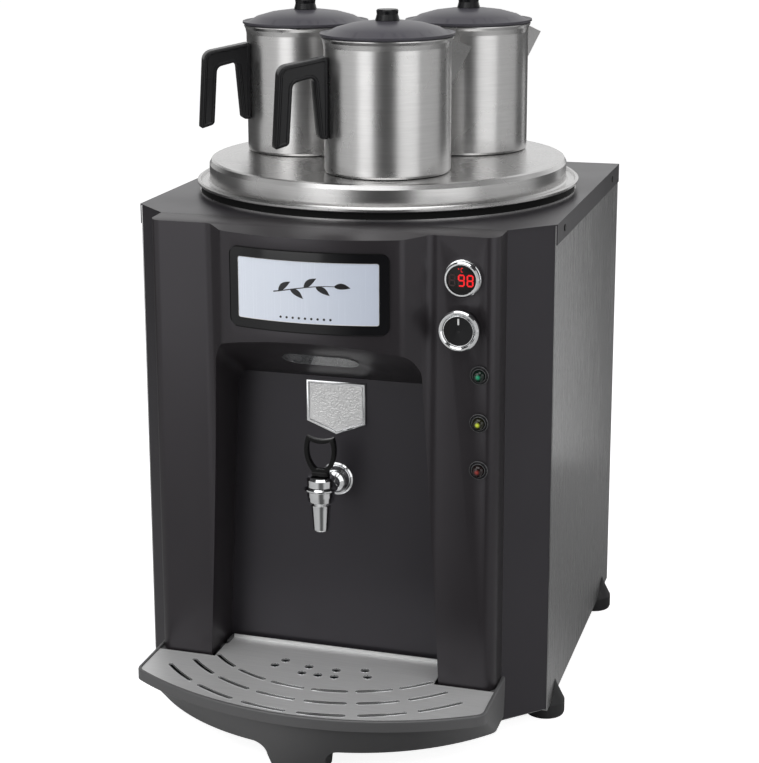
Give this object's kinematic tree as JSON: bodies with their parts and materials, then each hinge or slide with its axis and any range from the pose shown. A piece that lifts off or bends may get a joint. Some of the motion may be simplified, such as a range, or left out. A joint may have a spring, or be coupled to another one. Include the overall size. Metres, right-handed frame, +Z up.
{
  "type": "tea urn",
  "caption": "Counter-top tea urn: case with a recessed tap, thermostat and thermometer, pull-out drip tray, and brewing pots on the boiler lid.",
  "frame": {"origin": "middle of the whole object's footprint on the floor", "axes": "+Z up, -Y the front with the tap, +X the side with the controls"},
  "size_m": [0.4379, 0.563, 0.6994],
  "materials": {
    "case_steel": "brushed, fine vertical grain",
    "case_dark": "dark satin coating",
    "fascia_plastic": "fine satin texture",
    "frame_gloss": "glossy black",
    "display_lit": "pale lit panel",
    "chrome": "polished",
    "thermo_display": "dark window with red figures",
    "lens_green": "clear green lens",
    "lens_yellow": "clear yellow lens",
    "lens_red": "clear dark red lens",
    "lamp_lens": "clear ribbed lens",
    "lamp_led": "white light module",
    "badge": "hammered bright metal",
    "black_moulding": "black, satin gloss",
    "tray_plastic": "dark grey satin moulding",
    "grid_steel": "brushed plate",
    "spun_steel": "turned, fine circular grain",
    "pot_steel": "brushed round the wall",
    "pot_lid_dark": "dark satin coating",
    "seal_rubber": "dark silicone",
    "foot_rubber": "black moulded",
    "seat_silicone": "translucent silicone",
    "insulation": "mineral fibre blanket",
    "zinc_steel": "zinc-coated sheet",
    "brass": "machined",
    "ceramic": "unglazed",
    "screw_steel": "bright zinc"
  },
  "bodies": {
    "machine": {"back_panel": "case_steel", "back_screws": "screw_steel", "badge_plate": "badge", "base_plate": "zinc_steel", "boiler_seal": "seal_rubber", "cable_gland": "black_moulding", "cover_screws": "screw_steel", "display_frame": "frame_gloss", "display_panel": "display_lit", "fascia_screws": "screw_steel", "feet": "foot_rubber", "foot_screws": "screw_steel", "front_fascia": "fascia_plastic", "front_panel": "case_dark", "heater_plug": "brass", "heating_element": "spun_steel", "indicator_bezels": "black_moulding", "indicator_lens_green": "lens_green", "indicator_lens_red": "lens_red", "indicator_lens_yellow": "lens_yellow", "insulation_jacket": "insulation", "lever_pin": "screw_steel", "overheat_cutout": "ceramic", "recess_lamp": "lamp_lens", "recess_lamp_leds": "lamp_led", "recess_panel": "case_dark", "sensor_pockets": "brass", "side_panel_left": "case_steel", "side_panel_right": "case_steel", "tank_legs": "zinc_steel", "tap_body": "chrome", "tap_bonnet": "chrome", "tap_flange": "chrome", "tap_lock_nut": "brass", "terminal_block": "ceramic", "thermometer_bezel": "chrome", "thermometer_display": "thermo_display", "thermostat_body": "ceramic", "top_cover": "case_dark", "water_tank": "spun_steel"},
    "control_knob": {"knob_shaft": "brass", "knob_body": "black_moulding", "knob_ring": "chrome"},
    "tap_lever_body": {"tap_lever": "black_moulding"},
    "tap_seat": {"seat_cup": "seat_silicone"},
    "tray": {"drip_tray": "tray_plastic"},
    "grid": {"drip_grid": "grid_steel"},
    "urn_lid": {"boiler_lid": "spun_steel"},
    "pot_front": {"pot_front_body": "pot_steel", "pot_front_handle": "black_moulding"},
    "pot_front_cover": {"pot_front_lid": "pot_lid_dark", "pot_front_knob": "black_moulding"},
    "pot_left": {"pot_left_body": "pot_steel", "pot_left_handle": "black_moulding"},
    "pot_left_cover": {"pot_left_lid": "pot_lid_dark", "pot_left_knob": "black_moulding"},
    "pot_right": {"pot_right_body": "pot_steel", "pot_right_handle": "black_moulding"},
    "pot_right_cover": {"pot_right_lid": "pot_lid_dark", "pot_right_knob": "black_moulding"}
  },
  "joints": [
    {"name": "knob_turn", "type": "hinge", "parent": "machine", "child": "control_knob", "pos_m": [0.138, -0.1735, 0.424], "axis": [0, 1, 0], "range_deg": [0, 270]},
    {"name": "lever_tilt", "type": "hinge", "parent": "machine", "child": "tap_lever_body", "pos_m": [0, -0.1735, 0.263], "axis": [1, 0, 0], "range_deg": [0, 35], "stiffness_Nm_per_rad": 0.25, "springref_deg": -11.46},
    {"name": "seat_lift", "type": "slide", "parent": "machine", "child": "tap_seat", "axis": [0, 0, 1], "range_m": [0, 0.003]},
    {"name": "tray_slide", "type": "slide", "parent": "machine", "child": "tray", "axis": [0, -1, 0], "range_m": [0, 0.1]},
    {"name": "grid_lift", "type": "slide", "parent": "tray", "child": "grid", "axis": [0, 0, 1], "range_m": [0, 0.04]},
    {"name": "urn_lid_lift", "type": "slide", "parent": "machine", "child": "urn_lid", "axis": [0, 0, 1], "range_m": [0, 0.12]},
    {"name": "pot_front_lift", "type": "slide", "parent": "urn_lid", "child": "pot_front", "axis": [0, 0, 1], "range_m": [0, 0.15]},
    {"name": "pot_front_cover_lift", "type": "slide", "parent": "pot_front", "child": "pot_front_cover", "axis": [0, 0, 1], "range_m": [0, 0.08]},
    {"name": "pot_left_lift", "type": "slide", "parent": "urn_lid", "child": "pot_left", "axis": [0, 0, 1], "range_m": [0, 0.15]},
    {"name": "pot_left_cover_lift", "type": "slide", "parent": "pot_left", "child": "pot_left_cover", "axis": [0, 0, 1], "range_m": [0, 0.08]},
    {"name": "pot_right_lift", "type": "slide", "parent": "urn_lid", "child": "pot_right", "axis": [0, 0, 1], "range_m": [0, 0.15]},
    {"name": "pot_right_cover_lift", "type": "slide", "parent": "pot_right", "child": "pot_right_cover", "axis": [0, 0, 1], "range_m": [0, 0.08]}
  ],
  "couplings": [
    {"joint": "seat_lift", "follows": "lever_tilt", "m_per_rad": 0.0049062}
  ]
}
